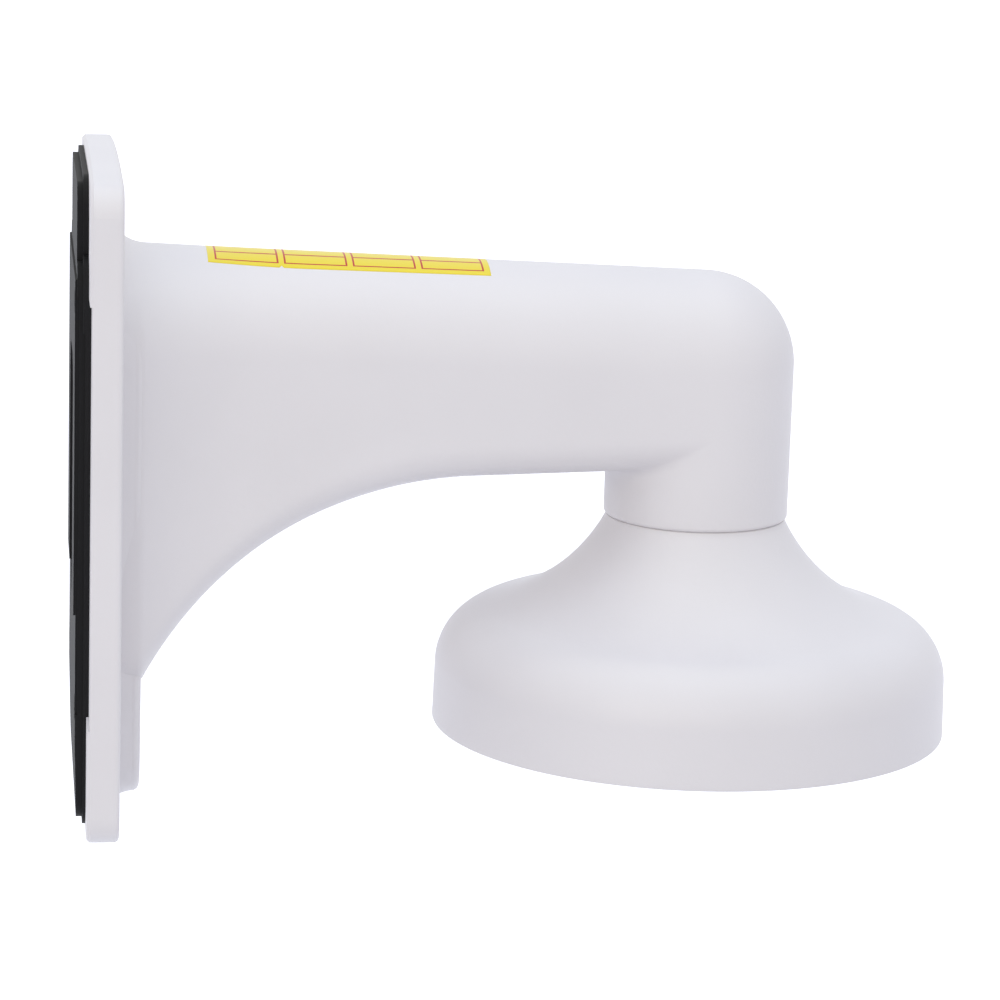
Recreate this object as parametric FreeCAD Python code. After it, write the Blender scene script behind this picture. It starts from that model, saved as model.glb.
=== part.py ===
import FreeCAD, Part
import math
import os

Vector = FreeCAD.Vector
X_AXIS = Vector(1, 0, 0)
Z_AXIS = Vector(0, 0, 1)
ORIGIN = Vector(0, 0, 0)

# A wall bracket for a small dome camera. X runs out from the wall, Z is up, and Y = 0 is its middle plane.
# The wall is the plane X = 0, and the origin is the middle of the four wall screws. All sizes are in mm.

# Reach, and the height of the joint where the bell meets the arm
wall_to_axis = 146.75
joint_z = -9.1

# Rubber gasket between the plate and the wall: a base, a tier and a pad. A gap is measured from the plate's near end.
gasket_base = 1.2
gasket_tier = 1.3
gasket_pad = 0.45
gasket_step = 0.5
gasket_side_inset = 13.0
gasket_end_inset = 2.1
gasket_corner = 7.0
gasket_neck_half_width = 34.5
gasket_neck_corner = 6.0
gasket_neck_gap = 19.0
gasket_step_gap = 35.5
tier_inset = 1.6
crease_inset = 0.8
pad_inset = 1.5
pad_top_gap = 24.0
pad_bottom_gap = 51.0
facet_gap = 22.0
facet_depth = 0.5
cable_opening_width = 36.0
cable_opening_height = 60.0
cable_opening_corner = 9.0

# Wall plate, a shallow tray that is open at the back
plate_width = 110.0
plate_height = 150.0
plate_bow = 2.06
plate_depth = 7.2
plate_corner = 7.0
plate_front_wall = 3.4
plate_side_wall = 17.0
plate_end_wall = 5.0
plate_front_round = 1.15
plate_back_chamfer = 0.7
relief_depth = 0.55
relief_top_gap = 27.7
relief_bottom_gap = 28.5
rib_thickness = 2.4
rib_spacing = 46.0

# Wall screws, through the plate and the gasket
wall_screw_side_margin = 7.0
wall_screw_span_z = 92.0
wall_hole_radius = 3.0
wall_boss_radius = 7.6
countersink_radius = 5.4
countersink_depth = 2.4

# Raised platform between the plate and the arm
platform_depth = 5.35
platform_ledge = 0.5
platform_foot_half_width = 27.0
platform_foot_margin = 4.2
platform_top_drop = 3.4
platform_top_corner = 20.0
platform_foot_corner = 12.0
platform_round = 1.6

# Arm: a hollow beam with a half-round top and an arched underside
arm_wall = 3.2
arm_top_at_axis = 49.0
arm_top_draft = 2.03
arm_underside_at_axis = 5.06
arm_underside_draft = 2.21
arm_arch_start = 91.45
arm_arch_foot_z = -42.9
arm_lower_round = 8.0
arm_root_half_width = 31.0
arm_flare_length = 39.0
root_fillet_length = 6.6
root_fillet_height = 4.4

# Round spigot at the end of the arm
spigot_radius = 21.6
spigot_edge_round = 1.0
spigot_web = 6.5
cable_bore_radius = 10.0

# Bell that the camera fits on
bell_height = 50.4
bell_rim_radius = 61.0
bell_neck_radius = 21.0
bell_neck_chamfer = 0.4
bell_draft = 1.455
bell_shoulder_radius = 14.3
bell_shoulder_z = 13.0
bell_flare_radius = 44.3
bell_wall = 3.0
bell_flange = 5.0
rebate_width = 1.4
rebate_depth = 1.5

# Bosses in the bell for the camera's screws
camera_pitch_radius = 52.0
camera_boss_radius = 4.8
camera_boss_recess = 2.0
camera_hole_radius = 2.0
camera_hole_depth = 12.0
camera_web_thickness = 3.0
camera_screw_count = 3

# Screws, spring washers and seal in the joint
neck_pitch_radius = 14.2
neck_screw_count = 3
neck_screw_radius = 2.0
neck_screw_length = 12.0
neck_head_radius = 3.7
neck_crown_radius = 2.7
neck_head_height = 2.7
neck_hole_clearance = 0.25
thread_clearance = 0.04
washer_width = 1.35
washer_thickness = 1.0
washer_gap = 0.8
washer_first_turn = 50.0
washer_turn_step = 75.0
drive_width = 0.9
drive_span = 4.2
drive_depth = 1.5
seal_inner_radius = 17.8
seal_width = 1.7
seal_height = 1.3
seal_clearance = 0.1

# Adhesive strip over the top of the arm
strip_start = 30.8
strip_length = 65.0
strip_half_width = 8.5
strip_thickness = 0.2

# Places worked out from the sizes above
plate_back = gasket_base + gasket_tier + gasket_pad
plate_front = plate_back + plate_depth
platform_front = plate_front + platform_depth
spigot_centre_z = arm_top_at_axis - spigot_radius
rim_z = joint_z - bell_height
flange_under_z = joint_z - bell_flange
plate_top_z = plate_height / 2
plate_low_z = -plate_height / 2
pad_top_z = plate_top_z - pad_top_gap
pad_bottom_z = plate_low_z + pad_bottom_gap
neck_low_z = plate_top_z - gasket_neck_gap
step_low_z = plate_top_z - gasket_step_gap
facet_top_z = plate_low_z + facet_gap
relief_top_z = plate_top_z - relief_top_gap
relief_bottom_z = plate_low_z + relief_bottom_gap
wall_screw_span_y = plate_width - 2 * (gasket_side_inset + wall_screw_side_margin)
past = 1.0

# Sections of the arm's curved stretch, closer together near the plate
arch_steps = 10
arch_grading = 1.35
arch_end_step = 2.0


def slab(outline, corner, x_low, x_high):
    """Rounded rectangle in the YZ plane, pulled out along X."""
    y_low, y_high, z_low, z_high = outline
    box = Part.makeBox(x_high - x_low, y_high - y_low, z_high - z_low, Vector(x_low, y_low, z_low))
    return box.makeFillet(corner, edges_along(box, X_AXIS))


def edges_along(shape, direction):
    """Straight edges of a shape that run in one direction."""
    found = []
    for edge in shape.Edges:
        if isinstance(edge.Curve, Part.Line) and abs(edge.Curve.Direction.dot(direction)) > 0.999:
            found.append(edge)
    return found


def edges_in_plane(shape, x_level):
    """Edges of a shape that lie wholly in the plane X = x_level."""
    found = []
    for edge in shape.Edges:
        box = edge.BoundBox
        if abs(box.XMin - x_level) < 1e-4 and abs(box.XMax - x_level) < 1e-4:
            found.append(edge)
    return found


def rod(radius, start, length, direction=Z_AXIS):
    return Part.makeCylinder(radius, length, start, direction)


def fuse_all(shapes):
    return shapes[0].multiFuse(shapes[1:])


def wall_screw_points(x_level):
    points = []
    for side_y in (-0.5, 0.5):
        for side_z in (-0.5, 0.5):
            points.append(Vector(x_level, side_y * wall_screw_span_y, side_z * wall_screw_span_z))
    return points


def around_axis(radius, count, first_angle, z_level):
    """Evenly spaced points on a circle about the bell's axis."""
    points = []
    for index in range(count):
        angle = math.radians(first_angle + 360.0 * index / count)
        x_place = wall_to_axis + radius * math.cos(angle)
        points.append(Vector(x_place, radius * math.sin(angle), z_level))
    return points


# Laws of the arm: each gives one size of its section at a distance x from the wall. inset is the depth of a
# surface below the outer one, so the same laws make the outside, the cavity and the strip.

def arm_half_width(x, inset):
    """Straight sides that flare towards the wall along a circular arc."""
    flare = arm_root_half_width - spigot_radius
    arc_radius = (arm_flare_length ** 2 + flare ** 2) / (2 * flare) + inset
    run = max(platform_front + arm_flare_length - x, 0.0)
    run = min(run, arm_flare_length)
    return spigot_radius - inset + arc_radius - math.sqrt(arc_radius ** 2 - run ** 2)


def arm_top(x, inset):
    """A drafted line, lifted by a fillet where the arm meets the plate."""
    line = arm_top_at_axis + (wall_to_axis - x) * math.tan(math.radians(arm_top_draft)) - inset
    reach = (plate_front + root_fillet_length - x) / root_fillet_length
    reach = min(max(reach, 0.0), 1.0)
    return line + root_fillet_height * (1 - math.sqrt(1 - reach ** 2))


def arch():
    """Centre and radius of the arc that starts in line with the drafted underside and ends at the root."""
    slope = math.tan(math.radians(arm_underside_draft))
    start_z = arm_underside_at_axis - (wall_to_axis - arm_arch_start) * slope
    normal_x = math.sin(math.radians(arm_underside_draft))
    normal_z = -math.cos(math.radians(arm_underside_draft))
    chord_x = platform_front - arm_arch_start
    chord_z = arm_arch_foot_z - start_z
    radius = (chord_x ** 2 + chord_z ** 2) / (2 * (chord_x * normal_x + chord_z * normal_z))
    return arm_arch_start + radius * normal_x, start_z + radius * normal_z, radius


def arm_bottom(x, inset):
    """The drafted underside, and the arch between it and the root."""
    centre_x, centre_z, radius = arch()
    if x <= arm_arch_start:
        run = centre_x - max(x, platform_front)
        return centre_z + math.sqrt((radius + inset) ** 2 - run ** 2)
    slope = math.tan(math.radians(arm_underside_draft))
    return arm_underside_at_axis - (wall_to_axis - x) * slope + inset


def arm_section(x, inset):
    """Closed outline at x: half an ellipse on top, straight sides and a rounded lower edge each side."""
    half = arm_half_width(x, inset)
    top = arm_top(x, inset)
    bottom = arm_bottom(x, inset)
    shoulder = top - min(spigot_radius - inset, half)
    corner = arm_lower_round - inset
    low = bottom + corner
    mid = corner * (1 - math.sqrt(0.5))
    crown = Part.Ellipse(Vector(x, half, shoulder), Vector(x, 0, top), Vector(x, 0, shoulder))
    edges = [Part.ArcOfEllipse(crown, 0, math.pi).toShape()]
    edges.append(Part.makeLine(Vector(x, -half, shoulder), Vector(x, -half, low)))
    left = Part.Arc(Vector(x, -half, low), Vector(x, -half + mid, bottom + mid), Vector(x, -half + corner, bottom))
    edges.append(left.toShape())
    edges.append(Part.makeLine(Vector(x, -half + corner, bottom), Vector(x, half - corner, bottom)))
    right = Part.Arc(Vector(x, half - corner, bottom), Vector(x, half - mid, bottom + mid), Vector(x, half, low))
    edges.append(right.toShape())
    edges.append(Part.makeLine(Vector(x, half, low), Vector(x, half, shoulder)))
    return Part.Wire(edges)


def arm_stations(start):
    """Places of the curved stretch's sections: on the root fillet, then along the flare and the arch."""
    stations = []
    for turn in (90, 70, 50, 33, 16, 0):
        stations.append(plate_front + root_fillet_length * (1 - math.sin(math.radians(turn))))
    first = stations[-1]
    for step in range(1, arch_steps + 1):
        stations.append(first + (arm_arch_start - first) * (step / arch_steps) ** arch_grading)
    stations.insert(-1, arm_arch_start - arch_end_step)
    return [place for place in stations if place >= start]


def arm_beam(inset, start):
    """Hollow beam's surface at one inset: a curved stretch from the plate, then a straight drafted one."""
    curved = Part.makeLoft([arm_section(place, inset) for place in arm_stations(start)], True)
    ends = [arm_section(arm_arch_start, inset), arm_section(wall_to_axis, inset)]
    return curved.fuse(Part.makeLoft(ends, True, True))


def spigot(inset, bottom_z):
    """Round end of the arm: a vertical cylinder under a half ball that turns the corner."""
    radius = spigot_radius - inset
    column = rod(radius, Vector(wall_to_axis, 0, bottom_z), spigot_centre_z - bottom_z)
    ball = Part.makeSphere(radius, Vector(wall_to_axis, 0, spigot_centre_z))
    return column, ball


def platform(inset, x_low, x_high):
    """Tapered pad between the plate and the arm, wide at the arm and narrower at its foot."""
    top_z = arm_top(platform_front, 0) - platform_top_drop - inset
    foot_z = plate_low_z + platform_foot_margin + inset
    top_half = arm_root_half_width + platform_ledge - inset
    foot_half = platform_foot_half_width - inset
    corners = [
        Vector(x_low, -top_half, top_z),
        Vector(x_low, -top_half, 0),
        Vector(x_low, -foot_half, foot_z),
        Vector(x_low, foot_half, foot_z),
        Vector(x_low, top_half, 0),
        Vector(x_low, top_half, top_z),
    ]
    face = Part.Face(Part.makePolygon(corners + [corners[0]]))
    pad = face.extrude(Vector(x_high - x_low, 0, 0))
    pad = round_corners(pad, platform_top_corner - inset, top_z)
    return round_corners(pad, platform_foot_corner - inset, foot_z)


def round_corners(pad, radius, z_level):
    chosen = [edge for edge in edges_along(pad, X_AXIS) if abs(edge.BoundBox.ZMin - z_level) < 1e-3]
    return pad.makeFillet(radius, chosen)


def plate_blank():
    """Solid plate with rounded corners, whose top and bottom are slightly bowed."""
    half_y = plate_width / 2
    edges = []
    for end in (1, -1):
        left = Vector(plate_back, -end * half_y, end * (plate_top_z - plate_bow))
        right = Vector(plate_back, end * half_y, end * (plate_top_z - plate_bow))
        edges.append(Part.Arc(left, Vector(plate_back, 0, end * plate_top_z), right).toShape())
        edges.append(Part.makeLine(right, Vector(plate_back, end * half_y, -end * (plate_top_z - plate_bow))))
    blank = Part.Face(Part.Wire(edges)).extrude(Vector(plate_depth, 0, 0))
    blank = blank.makeFillet(plate_corner, edges_along(blank, X_AXIS))
    blank = blank.makeFillet(plate_front_round, edges_in_plane(blank, plate_front))
    return blank.makeChamfer(plate_back_chamfer, edges_in_plane(blank, plate_back))


def plate_tray():
    """Wall plate with its pocket, the ribs that cross it, the wall round the cavity and four screw bosses."""
    floor = plate_front - plate_front_wall
    pocket_y = plate_width / 2 - plate_side_wall
    pocket_z = plate_top_z - plate_end_wall
    pocket = slab((-pocket_y, pocket_y, -pocket_z, pocket_z), plate_corner, plate_back - past, floor)
    keep = [platform(0, plate_back - past, floor)]
    for point in wall_screw_points(plate_back - past):
        keep.append(rod(wall_boss_radius, point, floor - plate_back + past, X_AXIS))
    for side in (-0.5, 0.5):
        level = side * rib_spacing - rib_thickness / 2
        corner = Vector(plate_back - past, -plate_width / 2, level)
        keep.append(Part.makeBox(floor - plate_back + past, plate_width, rib_thickness, corner))
    return plate_blank().cut(pocket.cut(fuse_all(keep)))


def arm_outside():
    """Plate, platform, beam and spigot as one cast body, before it is hollowed."""
    pad = platform(0, plate_front - past, platform_front)
    pad = pad.makeFillet(platform_round, edges_in_plane(pad, platform_front))
    column, ball = spigot(0, joint_z)
    end_edges = [edge for edge in column.Edges if abs(edge.BoundBox.ZMax - joint_z) < 1e-4]
    column = column.makeFillet(spigot_edge_round, end_edges)
    return fuse_all([plate_tray(), pad, arm_beam(0, 0), column, ball])


def arm_cavity():
    """Cable space: a wide pocket behind the platform, the inside of the beam and of the spigot."""
    pocket = platform(arm_wall, plate_back - past, platform_front - arm_wall)
    beam = arm_beam(arm_wall, platform_front - arm_wall - past)
    column, ball = spigot(arm_wall, joint_z + spigot_web)
    return fuse_all([pocket, beam, column, ball])


def wall_screw_cuts():
    """Clearance holes with a countersink at the plate's front."""
    cuts = []
    for point in wall_screw_points(plate_back - past):
        cuts.append(rod(wall_hole_radius, point, plate_depth + 2 * past, X_AXIS))
    for point in wall_screw_points(plate_front - countersink_depth):
        cone = Part.makeCone(wall_hole_radius, countersink_radius, countersink_depth, point, X_AXIS)
        cuts.append(cone)
    return cuts


def arm_casting():
    """The arm, its plate and its spigot in one piece."""
    body = arm_outside().cut(arm_cavity())
    cuts = wall_screw_cuts()
    low, high = relief_bottom_z, relief_top_z
    relief_corner = Vector(plate_back - past, -plate_width / 2 - past, low)
    cuts.append(Part.makeBox(relief_depth + past, plate_width + 2 * past, high - low, relief_corner))
    cuts.append(rod(cable_bore_radius, Vector(wall_to_axis, 0, joint_z - past), spigot_web + 2 * past))
    tapped = neck_screw_radius + thread_clearance
    for point in around_axis(neck_pitch_radius, neck_screw_count, 0, joint_z - past):
        cuts.append(rod(tapped, point, spigot_web + 2 * past))
    return body.cut(fuse_all(cuts))


def gasket_slab(inset, x_low, x_high):
    """The gasket's outline between two depths: a wide body with a narrower neck at the top."""
    body_y = plate_width / 2 - gasket_side_inset - inset
    neck_y = gasket_neck_half_width - inset
    end_z = plate_top_z - gasket_end_inset - inset
    body = slab((-body_y, body_y, -end_z, neck_low_z - inset), gasket_corner - inset, x_low, x_high)
    neck = slab((-neck_y, neck_y, 0, end_z), gasket_neck_corner - inset, x_low, x_high)
    return fuse_all([body, neck]).removeSplitter()


def band(half_y, x_low, x_high, z_low, z_high):
    """Box across the part, centred on Y = 0."""
    return Part.makeBox(x_high - x_low, 2 * half_y, z_high - z_low, Vector(x_low, -half_y, z_low))


def gasket_tier_body():
    """Tier between the base and the wall, with a crease along its sides and a slanted facet at its lower end."""
    tier = gasket_slab(tier_inset, gasket_pad, gasket_pad + gasket_tier + gasket_step)
    tier_y = plate_width / 2 - gasket_side_inset - tier_inset
    crease_x = gasket_pad + gasket_step
    crease = band(tier_y + past, 0, crease_x, relief_bottom_z, relief_top_z)
    crease = crease.cut(band(tier_y - crease_inset, 0, crease_x, relief_bottom_z, relief_top_z))
    facet = [
        Vector(0, 0, facet_top_z),
        Vector(gasket_pad, 0, facet_top_z),
        Vector(gasket_pad + facet_depth, 0, plate_low_z),
        Vector(0, 0, plate_low_z),
    ]
    wedge = Part.Face(Part.makePolygon(facet + [facet[0]]))
    wedge.translate(Vector(0, -plate_width, 0))
    return tier.cut(crease).cut(wedge.extrude(Vector(0, 2 * plate_width, 0)))


def wall_gasket():
    """Stepped rubber gasket: a base against the plate, a smaller tier, and a raised pad against the wall."""
    step_x = gasket_pad + gasket_tier
    base_y = plate_width / 2 - gasket_side_inset
    pad_y = base_y - tier_inset - pad_inset
    base = gasket_slab(0, step_x + gasket_step, plate_back)
    upper = gasket_slab(0, step_x, step_x + gasket_step)
    upper = upper.common(band(base_y, step_x, step_x + gasket_step, step_low_z, plate_top_z))
    pad = band(pad_y, 0, gasket_pad, pad_bottom_z, pad_top_z)
    raised = band(base_y, plate_back, plate_back + relief_depth, relief_bottom_z, relief_top_z)
    half_y = cable_opening_width / 2
    half_z = cable_opening_height / 2
    through = plate_back + relief_depth + past
    cuts = [slab((-half_y, half_y, -half_z, half_z), cable_opening_corner, -past, through)]
    for point in wall_screw_points(-past):
        cuts.append(rod(wall_hole_radius, point, through + past, X_AXIS))
    return fuse_all([base, upper, gasket_tier_body(), pad, raised]).cut(fuse_all(cuts)).removeSplitter()


def bell_flare_centre():
    """Centre of the flare: it passes through the neck and touches the shoulder's arc from outside."""
    skirt = bell_rim_radius - bell_shoulder_z * math.tan(math.radians(bell_draft))
    shoulder_r = skirt - bell_shoulder_radius
    to_neck = bell_flare_radius
    to_shoulder = bell_flare_radius + bell_shoulder_radius
    step_r = shoulder_r - bell_neck_radius
    step_z = bell_shoulder_z - bell_height
    gap = math.hypot(step_r, step_z)
    along = (to_neck ** 2 - to_shoulder ** 2 + gap ** 2) / (2 * gap)
    across = math.sqrt(to_neck ** 2 - along ** 2)
    centre_r = bell_neck_radius + along * step_r / gap - across * step_z / gap
    centre_z = bell_height + along * step_z / gap + across * step_r / gap
    return shoulder_r, centre_r, centre_z


def bell_curve(inset, top_z):
    """Edges of the bell's side from the rim up to top_z, moved inwards: skirt, shoulder and flare."""
    shoulder_r, flare_r, flare_z = bell_flare_centre()
    shoulder = bell_shoulder_radius - inset
    flare = bell_flare_radius + inset
    rim = Vector(bell_rim_radius - inset, 0, 0)
    skirt_top = Vector(shoulder_r + shoulder, 0, bell_shoulder_z)
    lean = math.atan2(flare_z - bell_shoulder_z, flare_r - shoulder_r)
    touch = Vector(shoulder_r + shoulder * math.cos(lean), 0, bell_shoulder_z + shoulder * math.sin(lean))
    middle = lean / 2
    crest = Vector(shoulder_r + shoulder * math.cos(middle), 0, bell_shoulder_z + shoulder * math.sin(middle))
    end_r = flare_r - math.sqrt(flare ** 2 - (flare_z - top_z) ** 2)
    end = Vector(end_r, 0, top_z)
    end_angle = math.atan2(top_z - flare_z, end_r - flare_r) % (2 * math.pi)
    half_way = (lean + math.pi + end_angle) / 2
    waist = Vector(flare_r + flare * math.cos(half_way), 0, flare_z + flare * math.sin(half_way))
    edges = [Part.makeLine(rim, skirt_top)]
    edges.append(Part.Arc(skirt_top, crest, touch).toShape())
    edges.append(Part.Arc(touch, waist, end).toShape())
    return edges, rim, end


def bell_solid(inset, top_z, chamfer):
    """Solid of revolution under the bell's side curve, with its top edge bevelled."""
    edges, rim, end = bell_curve(inset, top_z - chamfer)
    brim = Vector(end.x - chamfer, 0, top_z)
    if chamfer > 0:
        edges.append(Part.makeLine(end, brim))
    edges.append(Part.makeLine(brim, Vector(0, 0, top_z)))
    edges.append(Part.makeLine(Vector(0, 0, top_z), ORIGIN))
    edges.append(Part.makeLine(ORIGIN, rim))
    face = Part.Face(Part.Wire(edges))
    solid = face.revolve(ORIGIN, Z_AXIS, 360)
    solid.translate(Vector(wall_to_axis, 0, rim_z))
    return solid


def neck_ring(inner_radius, width, height):
    """Ring of rectangular section that lies just under the joint."""
    place = Vector(wall_to_axis, 0, joint_z - height)
    return rod(inner_radius + width, place, height).cut(rod(inner_radius, place, height))


def camera_bosses():
    """Three bosses on the bell's inside, each tied to the skirt by a web that ends within the skirt's wall."""
    shapes = []
    low = rim_z + camera_boss_recess
    for index, point in enumerate(around_axis(camera_pitch_radius, camera_screw_count, 60, low)):
        boss = rod(camera_boss_radius, point, bell_height)
        web_length = bell_rim_radius - camera_pitch_radius
        corner = Vector(wall_to_axis + camera_pitch_radius, -camera_web_thickness / 2, low)
        web = Part.makeBox(web_length, camera_web_thickness, bell_height, corner)
        web.rotate(Vector(wall_to_axis, 0, 0), Z_AXIS, 60 + 360.0 * index / camera_screw_count)
        shapes += [boss, web]
    return fuse_all(shapes).common(bell_solid(bell_wall / 2, bell_height - bell_flange / 2, 0))


def bell_casting():
    """Hollow bell: thin wall, flat flange on top, camera bosses, and a rebate round the mouth."""
    outside = bell_solid(0, bell_height, bell_neck_chamfer)
    shell = outside.cut(bell_solid(bell_wall, bell_height - bell_flange, 0))
    body = shell.fuse(camera_bosses())
    rebate_radius = bell_rim_radius - bell_wall + rebate_width
    cuts = [rod(rebate_radius, Vector(wall_to_axis, 0, rim_z - past), rebate_depth + past)]
    cuts.append(rod(cable_bore_radius, Vector(wall_to_axis, 0, flange_under_z - past), bell_flange + 2 * past))
    cuts.append(neck_ring(seal_inner_radius - seal_clearance, seal_width + 2 * seal_clearance, seal_height))
    for point in around_axis(neck_pitch_radius, neck_screw_count, 0, flange_under_z - past):
        cuts.append(rod(neck_screw_radius + neck_hole_clearance, point, bell_flange + 2 * past))
    start_z = rim_z + camera_boss_recess - past
    for point in around_axis(camera_pitch_radius, camera_screw_count, 60, start_z):
        cuts.append(rod(camera_hole_radius, point, camera_hole_depth + past))
    for cut in cuts:
        body = body.cut(cut)
    return body


def neck_seal():
    """Square-section rubber ring in the groove of the bell's top, pressed flat by the spigot."""
    return neck_ring(seal_inner_radius, seal_width, seal_height)


def neck_screw(point):
    """Pan-head screw driven upwards, with a cross recess in its head."""
    head_low = -neck_head_height
    rim_height = neck_head_height * 0.5
    head = rod(neck_head_radius, Vector(0, 0, -rim_height), rim_height)
    crown_height = neck_head_height - rim_height
    head = head.fuse(Part.makeCone(neck_crown_radius, neck_head_radius, crown_height, Vector(0, 0, head_low)))
    screw = head.fuse(rod(neck_screw_radius, ORIGIN, neck_screw_length))
    for turn in (0, 90):
        corner = Vector(-drive_span / 2, -drive_width / 2, head_low - past)
        slot = Part.makeBox(drive_span, drive_width, drive_depth + past, corner)
        slot.rotate(ORIGIN, Z_AXIS, turn)
        screw = screw.cut(slot)
    screw.translate(point)
    return screw


def spring_washer(point, turn):
    """Split ring under a screw head."""
    inner = neck_screw_radius + neck_hole_clearance
    ring = rod(inner + washer_width, ORIGIN, washer_thickness).cut(rod(inner, ORIGIN, washer_thickness))
    split = Part.makeBox(inner + washer_width + past, washer_gap, washer_thickness, Vector(0, -washer_gap / 2, 0))
    ring = ring.cut(split)
    ring.rotate(ORIGIN, Z_AXIS, turn)
    ring.translate(point)
    return ring


def neck_screws():
    seat_z = flange_under_z - washer_thickness
    return Part.makeCompound([neck_screw(p) for p in around_axis(neck_pitch_radius, neck_screw_count, 0, seat_z)])


def spring_washers():
    rings = []
    seat_z = flange_under_z - washer_thickness
    for index, point in enumerate(around_axis(neck_pitch_radius, neck_screw_count, 0, seat_z)):
        rings.append(spring_washer(point, washer_first_turn + washer_turn_step * index))
    return Part.makeCompound(rings)


def label_strip():
    """Thin strip that follows the rounded top of the arm."""
    corner = Vector(strip_start, -strip_half_width, spigot_centre_z)
    height = plate_height
    patch = Part.makeBox(strip_length, 2 * strip_half_width, height, corner)
    return arm_beam(-strip_thickness, 0).common(patch).cut(arm_beam(0, 0))


def build():
    nodes = {
        "arm_casting": arm_casting,
        "wall_gasket": wall_gasket,
        "bell_casting": bell_casting,
        "neck_seal": neck_seal,
        "neck_screws": neck_screws,
        "spring_washers": spring_washers,
        "label_strip": label_strip,
    }
    os.makedirs("parts", exist_ok=True)
    for name, make in nodes.items():
        shape = make()
        print(name, "solids", len(shape.Solids), "valid", shape.isValid(), "volume", round(shape.Volume, 1))
        shape.exportStep("parts/" + name + ".step")


build()
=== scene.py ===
import math

import bmesh
import bpy
import numpy as np
from mathutils import Matrix, Vector


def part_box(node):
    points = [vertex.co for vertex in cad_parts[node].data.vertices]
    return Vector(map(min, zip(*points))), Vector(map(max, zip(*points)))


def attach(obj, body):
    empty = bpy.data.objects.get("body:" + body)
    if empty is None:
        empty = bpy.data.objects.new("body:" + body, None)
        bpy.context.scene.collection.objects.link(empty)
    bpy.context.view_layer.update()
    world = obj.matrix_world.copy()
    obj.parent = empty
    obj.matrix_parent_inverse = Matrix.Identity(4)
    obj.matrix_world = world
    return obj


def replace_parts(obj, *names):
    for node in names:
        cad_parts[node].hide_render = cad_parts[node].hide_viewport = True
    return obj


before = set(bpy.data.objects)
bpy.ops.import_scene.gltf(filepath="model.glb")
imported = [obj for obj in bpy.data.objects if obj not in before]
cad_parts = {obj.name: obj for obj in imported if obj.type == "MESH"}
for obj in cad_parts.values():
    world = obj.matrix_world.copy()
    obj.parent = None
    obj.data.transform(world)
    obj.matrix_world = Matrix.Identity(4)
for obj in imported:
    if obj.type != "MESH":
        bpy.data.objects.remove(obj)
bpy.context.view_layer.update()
mm = 0.001

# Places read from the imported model, in millimetres: X out from the wall, Z up, the wall at X = 0.
bellLow, bellHigh = [np.array(corner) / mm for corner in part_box("bell_casting")]
axisX = (bellLow[0] + bellHigh[0]) / 2  # the bell's vertical axis
rimRadius = (bellHigh[1] - bellLow[1]) / 2
rimZ = bellLow[2]
jointZ = bellHigh[2]


# Mesh helpers

def gridFaces(rows, columns, closeRows, closeColumns):
    # each face joins a point of the grid to its neighbours in the next row and column
    i = np.arange(rows if closeRows else rows - 1)
    j = np.arange(columns if closeColumns else columns - 1)
    i, j = [part.ravel() for part in np.meshgrid(i, j, indexing="ij")]
    nextI, nextJ = (i + 1) % rows, (j + 1) % columns
    corners = [i * columns + j, i * columns + nextJ, nextI * columns + nextJ, nextI * columns + j]
    return np.stack(corners, axis=1)


def addMesh(name, points, faces, material, uv=None):
    mesh = bpy.data.meshes.new(name)
    mesh.from_pydata((points * mm).tolist(), [], faces.tolist())
    if uv is not None:
        layer = mesh.uv_layers.new(name="surface")
        layer.data.foreach_set("uv", uv[faces.ravel()].astype(np.float32).ravel())
    mesh.shade_smooth()
    mesh.materials.append(material)
    piece = bpy.data.objects.new(name, mesh)
    bpy.context.scene.collection.objects.link(piece)
    return piece


def addGrid(name, grid, material, closeRows=False, closeColumns=False, flip=False, uv=None):
    rows, columns = grid.shape[:2]
    faces = gridFaces(rows, columns, closeRows, closeColumns)
    if flip:
        faces = faces[:, ::-1]
    flatUv = None if uv is None else uv.reshape(-1, 2)
    return addMesh(name, grid.reshape(-1, 3), faces, material, flatUv)


def mergePoles(piece, near=0.001):
    # a pole is a row of points in one place: they become one point, and the squares round it triangles
    shape = bmesh.new()
    shape.from_mesh(piece.data)
    bmesh.ops.remove_doubles(shape, verts=shape.verts, dist=near * mm)
    shape.to_mesh(piece.data)
    shape.free()


def joinGrids(grids):
    # several grids, each closed from its last column to its first, as one list of points and faces
    points, faces, offset = [], [], 0
    for grid in grids:
        rows, columns = grid.shape[:2]
        faces.append(gridFaces(rows, columns, False, True) + offset)
        points.append(grid.reshape(-1, 3))
        offset += rows * columns
    return np.concatenate(points), np.concatenate(faces)


def revolve(profile, centreX, centreZ, steps):
    # a profile of (radius, height) pairs turned about the vertical axis through centreX
    angle = np.linspace(0, 2 * math.pi, steps, endpoint=False)
    radius, height = profile[:, 0][:, None], profile[:, 1][:, None]
    x = centreX + radius * np.cos(angle)
    y = radius * np.sin(angle)
    z = centreZ + height + 0 * angle
    return np.stack([x, y, z], axis=2)


def arcPoints(centre, radius, start, end, steps):
    # an arc round its centre, from one angle to another
    angle = np.linspace(start, end, steps)
    return np.stack([centre[0] + radius * np.cos(angle), centre[1] + radius * np.sin(angle)], axis=1)


def linePoints(start, end, steps):
    # a straight line, by shares of its two ends
    t = np.linspace(0, 1, steps)[:, None]
    return np.array(start) * (1 - t) + np.array(end) * t


# Materials

def hexColour(text):
    # an sRGB hex value as the linear colour that a socket takes
    parts = [int(text[i:i + 2], 16) / 255 for i in (1, 3, 5)]
    linear = [p / 12.92 if p <= 0.04045 else ((p + 0.055) / 1.055) ** 2.4 for p in parts]
    return (*linear, 1.0)


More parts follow.
